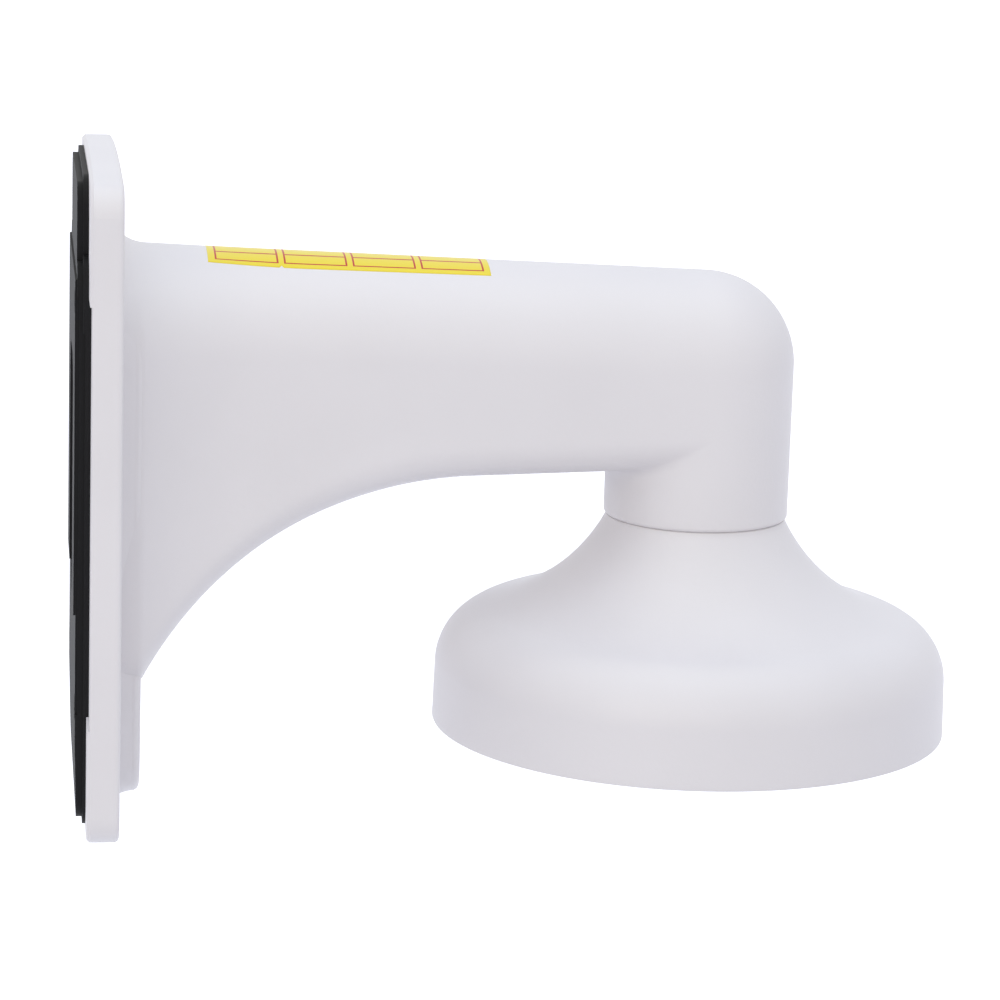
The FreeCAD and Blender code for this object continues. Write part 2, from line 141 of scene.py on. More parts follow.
def addNode(tree, kind, settings=None, links=None):
    node = tree.nodes.new(kind)
    for key, value in (settings or {}).items():
        if isinstance(key, int) or key in node.inputs.keys():
            node.inputs[key].default_value = value
        else:
            setattr(node, key, value)
    for key, source in (links or {}).items():
        tree.links.new(source, node.inputs[key])
    return node


def newMaterial(name, settings):
    material = bpy.data.materials.new(name)
    material.use_nodes = True
    tree = material.node_tree
    tree.nodes.clear()
    shader = addNode(tree, "ShaderNodeBsdfPrincipled", settings)
    addNode(tree, "ShaderNodeOutputMaterial", links={"Surface": shader.outputs[0]})
    place = addNode(tree, "ShaderNodeTexCoord")
    return material, tree, shader, place.outputs["Object"]


def noise(tree, place, grainMm, detail):
    # grainMm is the size of one bump; Object coordinates are in metres
    settings = {"Scale": 1 / (grainMm * mm), "Detail": detail, "Roughness": 0.5}
    return addNode(tree, "ShaderNodeTexNoise", settings, {"Vector": place}).outputs["Fac"]


paint = {
    "colour": "#E3E0E2",
    "shade": "#E0DDDF",
    "roughness": 0.42,
    "ior": 1.5,
    "driftMm": 38.0,  # size of the faint patches where the coat is thicker
    "driftFrom": 0.4,
    "driftTo": 0.75,
    "softDetail": 2.0,
    "peelMm": 1.3,  # spacing of the orange peel
    "peelHeight": 0.035,
    "grainMm": 0.42,
    "grainDetail": 3.0,
    "grainHeight": 0.012,
}


def powderCoat():
    # white polyester powder coat, sprayed and baked: satin, with a fine orange peel that breaks up highlights
    settings = {"Roughness": paint["roughness"], "IOR": paint["ior"]}
    material, tree, shader, place = newMaterial("whitePowderCoat", settings)
    peel = noise(tree, place, paint["peelMm"], paint["softDetail"])
    grain = noise(tree, place, paint["grainMm"], paint["grainDetail"])
    drift = noise(tree, place, paint["driftMm"], paint["softDetail"])
    mix = {"data_type": "RGBA", 6: hexColour(paint["colour"]), 7: hexColour(paint["shade"])}
    limits = {"From Min": paint["driftFrom"], "From Max": paint["driftTo"]}
    spread = addNode(tree, "ShaderNodeMapRange", limits, {"Value": drift})
    tint = addNode(tree, "ShaderNodeMix", mix, {0: spread.outputs[0]})
    tree.links.new(tint.outputs[2], shader.inputs["Base Color"])
    coarse = addNode(tree, "ShaderNodeBump", {"Distance": paint["peelHeight"] * mm}, {"Height": peel})
    links = {"Height": grain, "Normal": coarse.outputs[0]}
    fine = addNode(tree, "ShaderNodeBump", {"Distance": paint["grainHeight"] * mm}, links)
    tree.links.new(fine.outputs[0], shader.inputs["Normal"])
    return material


rubber = {
    "colour": "#101013",
    "roughness": 0.6,
    "ior": 1.52,
    "specular": 0.2,
    "grainMm": 0.5,
    "grainDetail": 3.0,
    "grainHeight": 0.01,
}


def mouldedRubber():
    # black EPDM rubber, compression moulded: smooth from the tool, with a soft shine
    settings = {"Roughness": rubber["roughness"], "IOR": rubber["ior"]}
    settings["Specular IOR Level"] = rubber["specular"]
    material, tree, shader, place = newMaterial("blackRubber", settings)
    shader.inputs["Base Color"].default_value = hexColour(rubber["colour"])
    grain = noise(tree, place, rubber["grainMm"], rubber["grainDetail"])
    bump = addNode(tree, "ShaderNodeBump", {"Distance": rubber["grainHeight"] * mm}, {"Height": grain})
    tree.links.new(bump.outputs[0], shader.inputs["Normal"])
    return material


steel = {"colour": "#B9BBBE", "roughness": 0.32, "grainMm": 0.35, "grainDetail": 4.0, "grainHeight": 0.006}


def zincSteel():
    # bright zinc plate on cold-headed steel: a grey mirror blurred by fine crystals
    settings = {"Metallic": 1.0, "Roughness": steel["roughness"]}
    material, tree, shader, place = newMaterial("zincPlatedSteel", settings)
    shader.inputs["Base Color"].default_value = hexColour(steel["colour"])
    grain = noise(tree, place, steel["grainMm"], steel["grainDetail"])
    bump = addNode(tree, "ShaderNodeBump", {"Distance": steel["grainHeight"] * mm}, {"Height": grain})
    tree.links.new(bump.outputs[0], shader.inputs["Normal"])
    return material


# Camera and light

camera = {
    "place": (-13.55, -812.1, 165.4),  # mm, in front of the bracket's side and a little above it
    "turn": 7.964,  # degrees towards +X
    "tilt": 11.797,  # degrees down
    "roll": 1.776,
    "lensMm": 128.41,
    "sensorMm": 36.0,
    "seesFrom": 0.01,  # m
    "seesTo": 20.0,
}


def addCamera():
    turn, tilt, roll = [math.radians(camera[key]) for key in ("turn", "tilt", "roll")]
    ahead = Vector((math.sin(turn), math.cos(turn), 0))
    right = Vector((math.cos(turn), -math.sin(turn), 0))
    up = Vector((0, 0, 1))
    sight = ahead * math.cos(tilt) - up * math.sin(tilt)
    top = up * math.cos(tilt) + ahead * math.sin(tilt)
    imageRight = right * math.cos(roll) + top * math.sin(roll)
    imageUp = top * math.cos(roll) - right * math.sin(roll)
    data = bpy.data.cameras.new("camera")
    data.lens = camera["lensMm"]
    data.sensor_width = camera["sensorMm"]
    data.clip_start = camera["seesFrom"]
    data.clip_end = camera["seesTo"]
    view = bpy.data.objects.new("camera", data)
    turned = Matrix((imageRight, imageUp, -sight)).transposed().to_4x4()
    view.matrix_world = Matrix.Translation(Vector(camera["place"]) * mm) @ turned
    bpy.context.scene.collection.objects.link(view)
    bpy.context.scene.camera = view


light = {
    "top": "#E0E9FF",
    "side": "#C9C0B2",
    "bottom": "#5A5A5C",
    "worldStrength": 1.13,
    "floorZ": -1000.0,
    "floorSize": 60000.0,
    "floorColour": "#F2F2F2",
    "floorRoughness": 0.9,
    "floorGlow": 0.6,
    "panels": [
        # name, place and target in mm, size in mm, watts, colour
        ("topPanel", (120, -150, 900), (90, 0, 0), 900, 1.79, "#F6FFF1"),
        ("frontPanel", (-350, -1100, 450), (90, 0, 0), 900, 3.00, "#FFF7E3"),
    ],
}


def seenRays(tree):
    # 1 for rays from the camera and for those that a glossy or clear surface sends on: all see a white room
    path = addNode(tree, "ShaderNodeLightPath")
    seen = path.outputs["Is Camera Ray"]
    for kind in ("Is Glossy Ray", "Is Transmission Ray"):
        links = {0: seen, 1: path.outputs[kind]}
        seen = addNode(tree, "ShaderNodeMath", {"operation": "MAXIMUM"}, links).outputs[0]
    return seen


def addWorld():
    world = bpy.data.worlds.new("studio")
    bpy.context.scene.world = world
    world.use_nodes = True
    tree = world.node_tree
    tree.nodes.clear()
    place = addNode(tree, "ShaderNodeTexCoord")
    axes = addNode(tree, "ShaderNodeSeparateXYZ", links={0: place.outputs["Generated"]})
    limits = {"From Min": -1.0, "From Max": 1.0}
    height = addNode(tree, "ShaderNodeMapRange", limits, {"Value": axes.outputs[2]})
    ramp = addNode(tree, "ShaderNodeValToRGB", links={0: height.outputs[0]})
    ramp.color_ramp.elements[0].color = hexColour(light["bottom"])
    ramp.color_ramp.elements[1].color = hexColour(light["top"])
    ramp.color_ramp.elements.new(0.5).color = hexColour(light["side"])
    strength = {"Strength": light["worldStrength"]}
    lit = addNode(tree, "ShaderNodeBackground", strength, {"Color": ramp.outputs[0]})
    white = addNode(tree, "ShaderNodeBackground", {"Color": (1, 1, 1, 1), "Strength": 1.0})
    links = {0: seenRays(tree), 1: lit.outputs[0], 2: white.outputs[0]}
    mix = addNode(tree, "ShaderNodeMixShader", links=links)
    addNode(tree, "ShaderNodeOutputWorld", links={0: mix.outputs[0]})


def addPanels():
    for name, place, target, size, watts, colour in light["panels"]:
        data = bpy.data.lights.new(name, "AREA")
        data.shape = "SQUARE"
        data.size = size * mm
        data.energy = watts
        data.color = hexColour(colour)[:3]
        lamp = bpy.data.objects.new(name, data)
        lamp.location = Vector(place) * mm
        aim = (Vector(target) - Vector(place)).to_track_quat("-Z", "Y")
        lamp.rotation_euler = aim.to_euler()
        bpy.context.scene.collection.objects.link(lamp)


def addFloor():
    settings = {"Roughness": light["floorRoughness"], "Specular IOR Level": 0.0}
    material, tree, shader = newMaterial("paleFloor", settings)[:3]
    shader.inputs["Base Color"].default_value = hexColour(light["floorColour"])
    shader.inputs["Emission Color"].default_value = (1, 1, 1, 1)
    product = {"operation": "MULTIPLY", 1: light["floorGlow"]}
    glow = addNode(tree, "ShaderNodeMath", product, {0: seenRays(tree)})
    tree.links.new(glow.outputs[0], shader.inputs["Emission Strength"])
    half = light["floorSize"] / 2
    corners = np.array([[-half, -half], [half, -half], [half, half], [-half, half]])
    points = np.column_stack([corners, np.full(4, light["floorZ"])])
    floor = addMesh("floor", points, np.array([[0, 1, 2, 3]]), material)


# The arm

arm = {
    "topAtAxis": 49.0,
    "topDraft": 2.03,  # degrees
    "undersideAtAxis": 5.06,
    "undersideDraft": 2.21,
    "archStart": 91.45,
    "archFootZ": -42.9,
    "plateFront": 10.15,
    "rootX": 15.5,  # front of the platform
    "lowerRound": 8.0,
    "rootHalfWidth": 31.0,
    "flareLength": 39.0,
    "filletLength": 6.6,
    "filletHeight": 4.4,
    "endRadius": 21.6,
    "endRound": 1.0,
    "creaseRound": 3.0,
    "creaseTurn": 0.85,  # the bend at which the crease has its whole round
    "pivotGap": 1.6,  # distance from the inner corner to the line that the sections turn about
    "coat": 0.1,  # how far the skin stands off the casting
    "depth": 1.2,  # how far its hidden side lies inside the casting
    "sink": 1.0,  # how far it starts inside the plate
    "jointGap": 0.02,  # how far its end stays above the joint
    "lip": 2.0,  # how far its end turns in under the spigot
    "stepIn": 0.3,  # where its hidden side starts, inside the flat of its end
    "beamReach": 80.0,  # longer than any ray from the beam's middle to its surface
    "elbowReach": 36.0,
    "halvings": 34,
    "columns": 288,
}
# The skin's rows: stations run from -0.2 at the plate through 0 where the fillet ends, 1 at the elbow's inner
# corner and 2 where the spigot starts, to 3 at its end.
filletStation = 0.2
hiddenStation = -0.3
outerRows = {"fillet": 15, "beam": 112, "elbow": 92, "spigot": 12, "end": 7}
innerRows = {"spigot": 3, "elbow": 12, "beam": 16}
innerStart, innerEnd = 2.9, -0.15
topSlope = math.tan(math.radians(arm["topDraft"]))
underSlope = math.tan(math.radians(arm["undersideDraft"]))
crownHeight = arm["endRadius"] / math.cos(math.radians(arm["topDraft"]))
ballZ = arm["topAtAxis"] - arm["endRadius"]


def halfWidth(x):
    # straight sides that flare towards the wall along a circular arc
    flare = arm["rootHalfWidth"] - arm["endRadius"]
    arcRadius = (arm["flareLength"] ** 2 + flare ** 2) / (2 * flare)
    run = np.clip(arm["rootX"] + arm["flareLength"] - x, 0, arm["flareLength"])
    return arm["endRadius"] + arcRadius - np.sqrt(arcRadius ** 2 - run ** 2)


def crownTop(x):
    # a drafted line, lifted by a quarter ellipse beside the plate
    line = arm["topAtAxis"] + (axisX - x) * topSlope
    reach = np.clip((arm["plateFront"] + arm["filletLength"] - x) / arm["filletLength"], 0, 1)
    return line + arm["filletHeight"] * (1 - np.sqrt(1 - reach ** 2))


def archCentre():
    # the arch is a circle that touches the drafted plane at archStart and meets the front of the platform
    startZ = arm["undersideAtAxis"] - (axisX - arm["archStart"]) * underSlope
    draft = math.radians(arm["undersideDraft"])
    normalX, normalZ = math.sin(draft), -math.cos(draft)
    chordX = arm["rootX"] - arm["archStart"]
    chordZ = arm["archFootZ"] - startZ
    radius = (chordX ** 2 + chordZ ** 2) / (2 * (chordX * normalX + chordZ * normalZ))
    return arm["archStart"] + radius * normalX, startZ + radius * normalZ, radius


def underside(x):
    # a circular arch that runs on, in line, as a drafted plane
    centreX, centreZ, radius = archCentre()
    run = np.clip(centreX - x, 0, centreX - arm["rootX"])
    arch = centreZ + np.sqrt(radius ** 2 - run ** 2)
    plane = arm["undersideAtAxis"] - (axisX - x) * underSlope
    return np.where(x < arm["archStart"], arch, plane)


def beamField(x, y, z):
    # signed distance to the beam and its direction across: half an ellipse above, a round-cornered box below
    half, under = halfWidth(x), underside(x)
    rise = z - (crownTop(x) - crownHeight)
    q = np.hypot(y / half, rise / crownHeight) + 1e-9
    slopeY, slopeZ = y / half ** 2, rise / crownHeight ** 2
    steep = np.hypot(slopeY, slopeZ) + 1e-12
    above = (q - 1) * q / steep
    r = arm["lowerRound"]
    u, v = np.abs(y) - (half - r), under + r - z
    corner = (u > 0) & (v > 0)
    length = np.hypot(u, v) + 1e-9
    below = np.where(corner, length, np.maximum(u, v)) - r
    belowY = np.where(corner, u / length, u > v) * np.sign(y)
    belowZ = -np.where(corner, v / length, v >= u)
    isAbove = rise > 0
    distance = np.where(isAbove, above, below)
    endX = axisX + np.maximum(z - ballZ, 0) * topSlope
    distance = np.maximum(distance, x - endX)
    return distance, np.where(isAbove, slopeY / steep, belowY), np.where(isAbove, slopeZ / steep, belowZ)


def spigotField(x, y, z):
    # signed distance to a vertical post with a half ball on top, and its direction
    rise = np.maximum(z - ballZ, 0)
    far = np.sqrt((x - axisX) ** 2 + y ** 2 + rise ** 2) + 1e-9
    return far - arm["endRadius"], y / far, rise / far


def armField(x, y, z):
    # the two bodies joined, with a round in the crease that fades out where they run into each other smoothly
    beam, beamY, beamZ = beamField(x, y, z)
    post, postY, postZ = spigotField(x, y, z)
    bend = 1 - np.clip(beamY * postY + beamZ * postZ, 0, 1)
    reach = arm["creaseRound"] / arm["creaseTurn"] * bend + 1e-6
    overlap = np.maximum(reach - np.abs(beam - post), 0) / reach
    return np.minimum(beam, post) - overlap ** 2 * reach / 4


def armRays(station, angle):
    # start and direction of a ray for each station along the arm and each angle round its section
    cornerX = axisX - arm["endRadius"]
    pivotX = cornerX - arm["pivotGap"]
    pivotZ = float(underside(np.array(pivotX))) - arm["pivotGap"]
    middleZ = float(crownTop(np.array(pivotX)) + underside(np.array(pivotX))) / 2
    s, a = station[:, None], angle[None, :]
    along = np.minimum(s, 1.0)
    turn = np.clip(s - 1, 0, 1) * math.pi / 2
    down = np.maximum(s - 2, 0)
    rootEnd = arm["plateFront"] + arm["filletLength"]
    filletShare = np.clip((along + filletStation) / filletStation, 0, 1)
    nearX = rootEnd - arm["filletLength"] * np.cos(filletShare * math.pi / 2)
    nearX = np.where(along < -filletStation, arm["plateFront"] - arm["sink"], nearX)
    farX = rootEnd + (pivotX - rootEnd) * np.maximum(along, 0)
    x = np.where(along < 0, nearX, farX)
    middle = (crownTop(x) + underside(x)) / 2
    height = middleZ - pivotZ + (axisX - pivotX - (middleZ - pivotZ)) * np.clip(s - 1, 0, 1)
    turning = s > 1
    startX = np.where(turning, pivotX + np.sin(turn) * height, x)
    startZ = np.where(turning, pivotZ + np.cos(turn) * height, middle)
    startZ = startZ - down * (pivotZ - (jointZ + arm["endRound"]))
    dirX = np.sin(turn) * np.cos(a)
    dirY = np.sin(a) + 0 * turn
    dirZ = np.cos(turn) * np.cos(a)
    limit = np.where(turning, arm["elbowReach"], arm["beamReach"]) + 0 * a
    return startX + 0 * a, startZ + 0 * a, dirX, dirY, dirZ, limit


def armSurface(station, angle, offset):
    # where each ray leaves the field, found by halving
    startX, startZ, dirX, dirY, dirZ, limit = armRays(station, angle)
    near, far = np.zeros_like(limit), limit.copy()
    for _ in range(arm["halvings"]):
        t = (near + far) / 2
        outside = armField(startX + t * dirX, t * dirY, startZ + t * dirZ) > offset
        far = np.where(outside, t, far)
        near = np.where(outside, near, t)
    return np.stack([startX + near * dirX, near * dirY, startZ + near * dirZ], axis=2)


def spigotEnd(angle):
    # the spigot's lower edge: a quarter turn in, a flat ring, and a step up to the hidden side
    turn = np.linspace(0, math.pi / 2, outerRows["end"])[1:]
    flat = arm["endRadius"] - arm["endRound"]
    endZ = jointZ + arm["endRound"]
    lowZ = jointZ + arm["jointGap"]
    inside = [flat - arm["lip"], flat - arm["stepIn"]]
    radius = np.append(flat + (arm["endRound"] + arm["coat"]) * np.cos(turn), inside)
    height = np.append(endZ - (endZ - lowZ) * np.sin(turn), [lowZ, endZ])
    return np.stack([
        axisX + radius[:, None] * np.cos(angle),
        radius[:, None] * np.sin(angle),
        height[:, None] + 0 * angle,
    ], axis=2)


def buildArm(material):
    # one closed skin: rows along the outside, round the spigot's end, and back along the hidden side
    angle = np.linspace(0, 2 * math.pi, arm["columns"], endpoint=False)
    outward = np.concatenate([
        [hiddenStation],
        np.linspace(-filletStation, 0, outerRows["fillet"])[:-1],
        np.linspace(0, 1, outerRows["beam"])[:-1],
        np.linspace(1, 2, outerRows["elbow"])[:-1],
        np.linspace(2, 3, outerRows["spigot"]),
    ])
    inward = np.concatenate([
        np.linspace(innerStart, 2, innerRows["spigot"]),
        np.linspace(2, 1, innerRows["elbow"])[1:],
        np.linspace(1, 0, innerRows["beam"])[1:],
        [innerEnd],
    ])
    outer = armSurface(outward, angle, arm["coat"])
    inner = armSurface(inward, angle, -arm["depth"])
    grid = np.concatenate([outer, spigotEnd(angle), inner])
    piece = addGrid("arm_skin", grid, material, closeRows=True, closeColumns=True, flip=True)
    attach(piece, "root")
    print("arm skin:", grid.shape[0], "rows of", grid.shape[1])


# The bell

bell = {
    "neckRadius": 21.0,
    "neckRound": 0.5,
    "draft": 1.455,
    "shoulderRadius": 14.3,
    "shoulderZ": 13.0,
    "flareRadius": 44.3,
    "wall": 3.0,
    "flange": 5.0,
    "rimRound": 0.3,
    "rebateWidth": 1.4,
    "rebateDepth": 1.5,
    "mouthRound": 0.25,
    "boreRadius": 10.0,
    "steps": 288,
}
bellRows = {
    "rim": 7,
    "skirt": 12,
    "side": 40,
    "neck": 6,
    "top": 5,
    "bore": 4,
    "innerSide": 28,
    "innerSkirt": 10,
}
boss = {
    "count": 3,
    "firstTurn": 60.0,  # degrees from the arm's own direction
    "pitch": 52.0,
    "radius": 4.8,
    "edgeRound": 0.3,
    "recess": 2.0,  # how far its end lies above the rim
    "hole": 2.0,
    "holeRound": 0.4,
    "holeDepth": 12.0,
    "drillTip": 0.6,  # height of the cone at the hole's end, as a share of its radius
    "web": 3.0,
    "webStep": 0.5,  # how far the web starts above the post's end
    "steps": 40,
}


def bellArcs():
    # centres of the shoulder and of the flare, which touch each other
    height = jointZ - rimZ
    shoulder, flare = bell["shoulderRadius"], bell["flareRadius"]
    shoulderR = rimRadius - bell["shoulderZ"] * math.tan(math.radians(bell["draft"])) - shoulder
    stepR, stepZ = shoulderR - bell["neckRadius"], bell["shoulderZ"] - height
    gap = math.hypot(stepR, stepZ)
    along = (flare ** 2 - (flare + shoulder) ** 2 + gap ** 2) / (2 * gap)
    across = math.sqrt(flare ** 2 - along ** 2)
    flareR = bell["neckRadius"] + along * stepR / gap - across * stepZ / gap
    flareZ = height + along * stepZ / gap + across * stepR / gap
    return shoulderR, flareR, flareZ


def bellSide(inset, topZ, steps):
    # the bell's side from the skirt's top to topZ: a quarter turn out, then a wide turn in
    shoulderR, flareR, flareZ = bellArcs()
    lean = math.atan2(flareZ - bell["shoulderZ"], flareR - shoulderR)
    flare = bell["flareRadius"] + inset
    endR = flareR - math.sqrt(flare ** 2 - (flareZ - topZ) ** 2)
    endAngle = math.atan2(topZ - flareZ, endR - flareR) % (2 * math.pi)
    out = arcPoints((shoulderR, bell["shoulderZ"]), bell["shoulderRadius"] - inset, 0, lean, steps)
    back = arcPoints((flareR, flareZ), flare, lean + math.pi, endAngle, steps)
    return np.concatenate([out, back[1:]])


def bellProfile():
    # one closed outline: rim, skirt, side, neck, top, bore, the inside of the wall and the rebate in the rim
    height = jointZ - rimZ
    rim, wall = rimRadius, bell["wall"]
    r, neck, lip = bell["rimRound"], bell["neckRound"], bell["mouthRound"]
    outer = bellSide(0, height - neck, bellRows["side"])
    brim = outer[-1]
    rimArc = arcPoints((rim - r, r), r, -math.pi / 2, 0, bellRows["rim"])
    skirt = linePoints((rim, r), outer[0], bellRows["skirt"])[1:-1]
    neckArc = arcPoints((brim[0] - neck, height - neck), neck, 0, math.pi / 2, bellRows["neck"])
    top = linePoints((brim[0] - neck, height), (bell["boreRadius"], height), bellRows["top"])[1:]
    under = height - bell["flange"]
    inner = bellSide(wall, under, bellRows["innerSide"])[::-1]
    bore = linePoints((bell["boreRadius"], under), inner[0], bellRows["bore"])[:-1]
    rebate = rim - wall + bell["rebateWidth"]
    innerSkirt = linePoints(inner[-1], (rim - wall, bell["rebateDepth"]), bellRows["innerSkirt"])[1:]
    mouth = np.array([(rebate, bell["rebateDepth"]), (rebate, lip), (rebate + lip, 0.0)])
    return np.concatenate([rimArc, skirt, outer, neckArc[1:], top, bore, inner, innerSkirt, mouth])


def wallMiddle(radius):
    # height of the middle of the bell's wall at a radius near the skirt
    shoulderR = bellArcs()[0]
    r = bell["shoulderRadius"] - bell["wall"] / 2
    return bell["shoulderZ"] + np.sqrt(np.maximum(r ** 2 - np.maximum(radius - shoulderR, 0) ** 2, 0))


def bossPost():
    # rings about the post's middle: the hole, the end, the outside, and a top that follows the bell's wall
    a = np.linspace(0, 2 * math.pi, boss["steps"], endpoint=False)
    low, hole, radius = boss["recess"], boss["hole"], boss["radius"]
    holeTop = low + boss["holeDepth"]
    wide = np.array([0, hole, hole, hole + boss["holeRound"], radius - boss["edgeRound"], radius, radius, 0])
    tip = holeTop + hole * boss["drillTip"]
    high = [tip, holeTop, low + boss["holeRound"], low, low, low + boss["edgeRound"]]
    x, y = boss["pitch"] + wide[:, None] * np.cos(a), wide[:, None] * np.sin(a)
    top = wallMiddle(np.hypot(x[-2], y[-2]))
    z = np.concatenate([np.array(high)[:, None] + 0 * a, [top], [0 * a + top.min()]])
    return np.stack([x, y, z], axis=2)


def bossWeb():
    # a flat rib from inside the post's wall, clear of its hole, to the middle of the bell's wall
    half = boss["web"] / 2
    near = boss["pitch"] + (boss["hole"] + boss["radius"]) / 2
    far = rimRadius - bell["wall"] / 2
    outline = np.array([(near, -half), (far, -half), (far, half), (near, half)])
    middle = np.tile(outline.mean(axis=0), (len(outline), 1))
    low = np.full(len(outline), boss["recess"] + boss["webStep"])
    top = wallMiddle(np.hypot(outline[:, 0], outline[:, 1]))
    rows = [(middle, low), (outline, low), (outline, top), (middle, 0 * top + top.min())]
    return np.stack([np.column_stack(row) for row in rows])


def turnAboutBell(grid, turn):
    # a grid drawn along the arm's direction, turned about the bell's axis and set on the rim's height
    x, y, z = np.moveaxis(grid, 2, 0)
    turnedX = axisX + x * math.cos(turn) - y * math.sin(turn)
    turnedY = x * math.sin(turn) + y * math.cos(turn)
    return np.stack([turnedX, turnedY, z + rimZ], axis=2)


def buildBell(material):
    grid = revolve(bellProfile(), axisX, rimZ, bell["steps"])
    piece = addGrid("bell_shell", grid, material, closeRows=True, closeColumns=True)
    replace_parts(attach(piece, "root"), "bell_casting")
    parts = []
    for index in range(boss["count"]):
        turn = math.radians(boss["firstTurn"] + 360 * index / boss["count"])
        parts += [turnAboutBell(part, turn) for part in (bossPost(), bossWeb())]
    points, faces = joinGrids(parts)
    bosses = addMesh("camera_bosses", points, faces, material)
    mergePoles(bosses)
    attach(bosses, "root")
    print("bell:", len(grid), "profile points and", boss["count"], "bosses")


# The strip on the arm

strip = {
    "start": 30.3,
    "length": 64.8,
    "halfWidth": 10.0,
    "thickness": 0.2,
    "lift": 0.02,  # gap to the skin below it
    "shift": -0.7,  # the strip was stuck on a little askew: its middle line starts off the arm's own
    "skew": 1.02,  # and crosses over to the other side by its far end
    "columns": 325,
    "rows": 24,
    "yellow": "#EAD62A",
    "red": "#BC2418",
    "roughness": 0.3,
    "ior": 1.5,
    "nickAt": 16.7,
    "nickWidth": 0.45,
    "nickDepth": 0.9,
    "panels": 4,
    "panelPitch": 15.75,
    "firstPanel": 1.6,
    "panelLength": 14.5,
    "margin": 1.55,
    "line": 0.42,
    "divider": 4.6,
    "dividerLine": 0.65,
    "grainMm": 0.9,
    "grainDetail": 2.0,
    "grainHeight": 0.004,
}


def buildStrip():
    # along the arm by length, across it by the angle about the crown's ellipse
    u = np.linspace(0, strip["length"], strip["columns"])[:, None]
    x = strip["start"] + u
    half = halfWidth(x)
    reach = np.arcsin(strip["halfWidth"] / half)  # angle where the strip's edge lies on the crown's ellipse
    share = np.linspace(-1, 1, strip["rows"])[None, :]
    nick = strip["nickDepth"] * np.clip(1 - np.abs(u - strip["nickAt"]) / strip["nickWidth"], 0, 1)
    edge = 1 - nick / strip["halfWidth"] * (share < 0)
    centre = strip["shift"] + strip["skew"] * u / strip["length"]
    turn = np.arcsin(centre / half) + reach * share * edge
    lift = arm["coat"] + strip["lift"]
    y = (half + lift) * np.sin(turn)
    z = crownTop(x) - crownHeight + (crownHeight + lift) * np.cos(turn)
    grid = np.stack([x + 0 * share, y, z], axis=2)
    across = y - centre
    uv = np.stack([u + 0 * share, across], axis=2)
    piece = addGrid("yellow_strip", grid, printedVinyl(), uv=uv)
    thick = piece.modifiers.new("thickness", "SOLIDIFY")
    thick.thickness = strip["thickness"] * mm
    thick.offset = 1
    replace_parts(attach(piece, "root"), "label_strip")
    print("strip:", strip["panels"], "panels")


def printedVinyl():
    # calendered vinyl with a screen-printed frame round each plain panel
    settings = {"Roughness": strip["roughness"], "IOR": strip["ior"]}
    material, tree, shader, place = newMaterial("yellowVinyl", settings)
    uv = addNode(tree, "ShaderNodeUVMap", {"uv_map": "surface"})
    axes = addNode(tree, "ShaderNodeSeparateXYZ", links={0: uv.outputs[0]})

    def maths(operation, first, second=0.0, third=0.0):
        node = addNode(tree, "ShaderNodeMath", {"operation": operation})
        for index, value in enumerate((first, second, third)):
            if isinstance(value, (int, float)):
                node.inputs[index].default_value = value
            else:
                tree.links.new(value, node.inputs[index])
        return node.outputs[0]

    # distance from the middle of the nearest panel, along and across
    along = maths("SUBTRACT", axes.outputs[0], strip["firstPanel"] + strip["panelLength"] / 2)
    index = maths("ROUND", maths("DIVIDE", along, strip["panelPitch"]))
    index = maths("MINIMUM", maths("MAXIMUM", index, 0.0), strip["panels"] - 1)
    along = maths("ABSOLUTE", maths("SUBTRACT", along, maths("MULTIPLY", index, strip["panelPitch"])))
    across = maths("ABSOLUTE", axes.outputs[1])
    halfLength, halfAcross = strip["panelLength"] / 2, strip["halfWidth"] - strip["margin"]
    edge = maths("MAXIMUM", maths("SUBTRACT", along, halfLength), maths("SUBTRACT", across, halfAcross))
    frameLine = maths("COMPARE", edge, -strip["line"] / 2, strip["line"] / 2)
    inside = maths("LESS_THAN", edge, 0.0)
    dividerAt = maths("ADD", axes.outputs[1], halfAcross - strip["divider"])
    divider = maths("MULTIPLY", maths("COMPARE", dividerAt, 0.0, strip["dividerLine"] / 2), inside)
    ink = maths("MAXIMUM", frameLine, divider)
    mix = {"data_type": "RGBA", 6: hexColour(strip["yellow"]), 7: hexColour(strip["red"])}
    colour = addNode(tree, "ShaderNodeMix", mix, {0: ink})
    tree.links.new(colour.outputs[2], shader.inputs["Base Color"])
    grain = noise(tree, place, strip["grainMm"], strip["grainDetail"])
    bump = addNode(tree, "ShaderNodeBump", {"Distance": strip["grainHeight"] * mm}, {"Height": grain})
    tree.links.new(bump.outputs[0], shader.inputs["Normal"])
    return material


# The platform's foot, where it runs out to the plate

foot = {
    "topHalf": 31.5,
    "topDrop": 3.4,  # the platform's top lies this far under the arm's
    "topCorner": 20.0,
    "lowHalf": 27.0,
    "lowZ": -70.8,
    "lowCorner": 12.0,
    "height": 4.0,
    "spread": 1.0,  # how far it reaches out on the plate
    "fade": 1.3,  # 1 is a straight slope, more is hollow
    "dive": 0.08,  # its front edge ends this far inside the casting
    "sink": 0.3,  # how far it starts inside the plate
    "depth": 0.6,  # how far its hidden side lies inside the casting
    "cornerSteps": 18,
    "steps": 14,
}


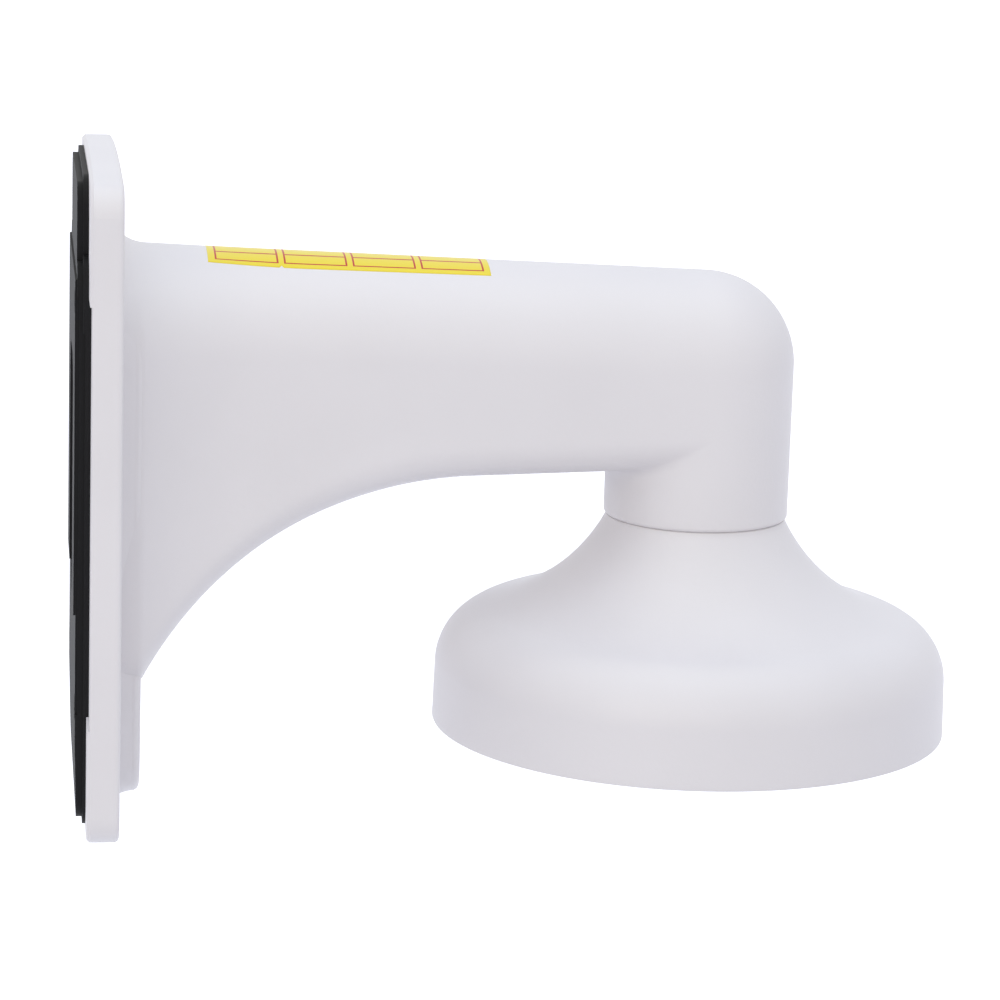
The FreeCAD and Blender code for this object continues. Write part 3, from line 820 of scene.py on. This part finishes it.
def roundedCorner(before, corner, after, radius):
    # an arc that touches both sides of a corner, with its centre on the line that halves the corner's angle
    back = (before - corner) / np.linalg.norm(before - corner)
    ahead = (after - corner) / np.linalg.norm(after - corner)
    half = math.acos(back @ ahead) / 2
    middle = (back + ahead) / np.linalg.norm(back + ahead)
    centre = corner + middle * radius / math.sin(half)
    start = corner + back * radius / math.tan(half) - centre
    end = corner + ahead * radius / math.tan(half) - centre
    turn = math.pi - 2 * half
    t = np.linspace(0, 1, foot["cornerSteps"])[:, None]
    return centre + (np.sin((1 - t) * turn) * start + np.sin(t * turn) * end) / math.sin(turn)


def footOutline():
    # the platform's outline against the plate, with its four rounded corners and a slight bend in each side
    topZ = crownTop(arm["rootX"]) - foot["topDrop"]
    high, low, lowZ = foot["topHalf"], foot["lowHalf"], foot["lowZ"]
    corners = np.array([[-high, topZ], [-high, 0], [-low, lowZ], [low, lowZ], [high, 0], [high, topZ]])
    radii = [foot["topCorner"], 0, foot["lowCorner"], foot["lowCorner"], 0, foot["topCorner"]]
    parts = []
    for index, radius in enumerate(radii):
        corner, after = corners[index], corners[(index + 1) % len(corners)]
        sharp = corner[None, :]
        parts.append(roundedCorner(corners[index - 1], corner, after, radius) if radius else sharp)
    return np.concatenate(parts)


def buildFoot(material):
    # the platform's outline, moved outwards by a distance that falls to nothing away from the plate
    outline = footOutline()
    along = np.roll(outline, -1, axis=0) - np.roll(outline, 1, axis=0)
    along /= np.linalg.norm(along, axis=1, keepdims=True)
    outward = np.stack([along[:, 1], -along[:, 0]], axis=1)
    rise = np.linspace(-foot["sink"], foot["height"], foot["steps"])
    fall = (1 - rise / foot["height"]) ** foot["fade"]
    reach = (foot["spread"] + foot["dive"]) * fall - foot["dive"]
    rise = np.append(rise, [foot["height"], -foot["sink"]])
    reach = np.append(reach, [-foot["depth"], -foot["depth"]])
    placed = outline[:, None, :] + outward[:, None, :] * reach[None, :, None]
    x = arm["plateFront"] + rise[None, :] + 0 * placed[:, :, 0]
    grid = np.concatenate([x[:, :, None], placed], axis=2)
    piece = addGrid("platform_foot", grid, material, closeRows=True, closeColumns=True, flip=True)
    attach(piece, "root")
    print("foot:", len(outline), "outline points")


# Carried-over pieces

def paintNodes(finishes):
    for names, material in finishes:
        for name in names:
            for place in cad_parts[name].material_slots:
                place.material = material


bpy.context.scene.view_settings.view_transform = "Standard"
addCamera()
addWorld()
addPanels()
addFloor()
print("camera, light and floor")
coat = powderCoat()
paintNodes([
    (["arm_casting"], coat),
    (["wall_gasket", "neck_seal"], mouldedRubber()),
    (["neck_screws", "spring_washers"], zincSteel()),
])
buildArm(coat)
buildFoot(coat)
buildBell(coat)
buildStrip()
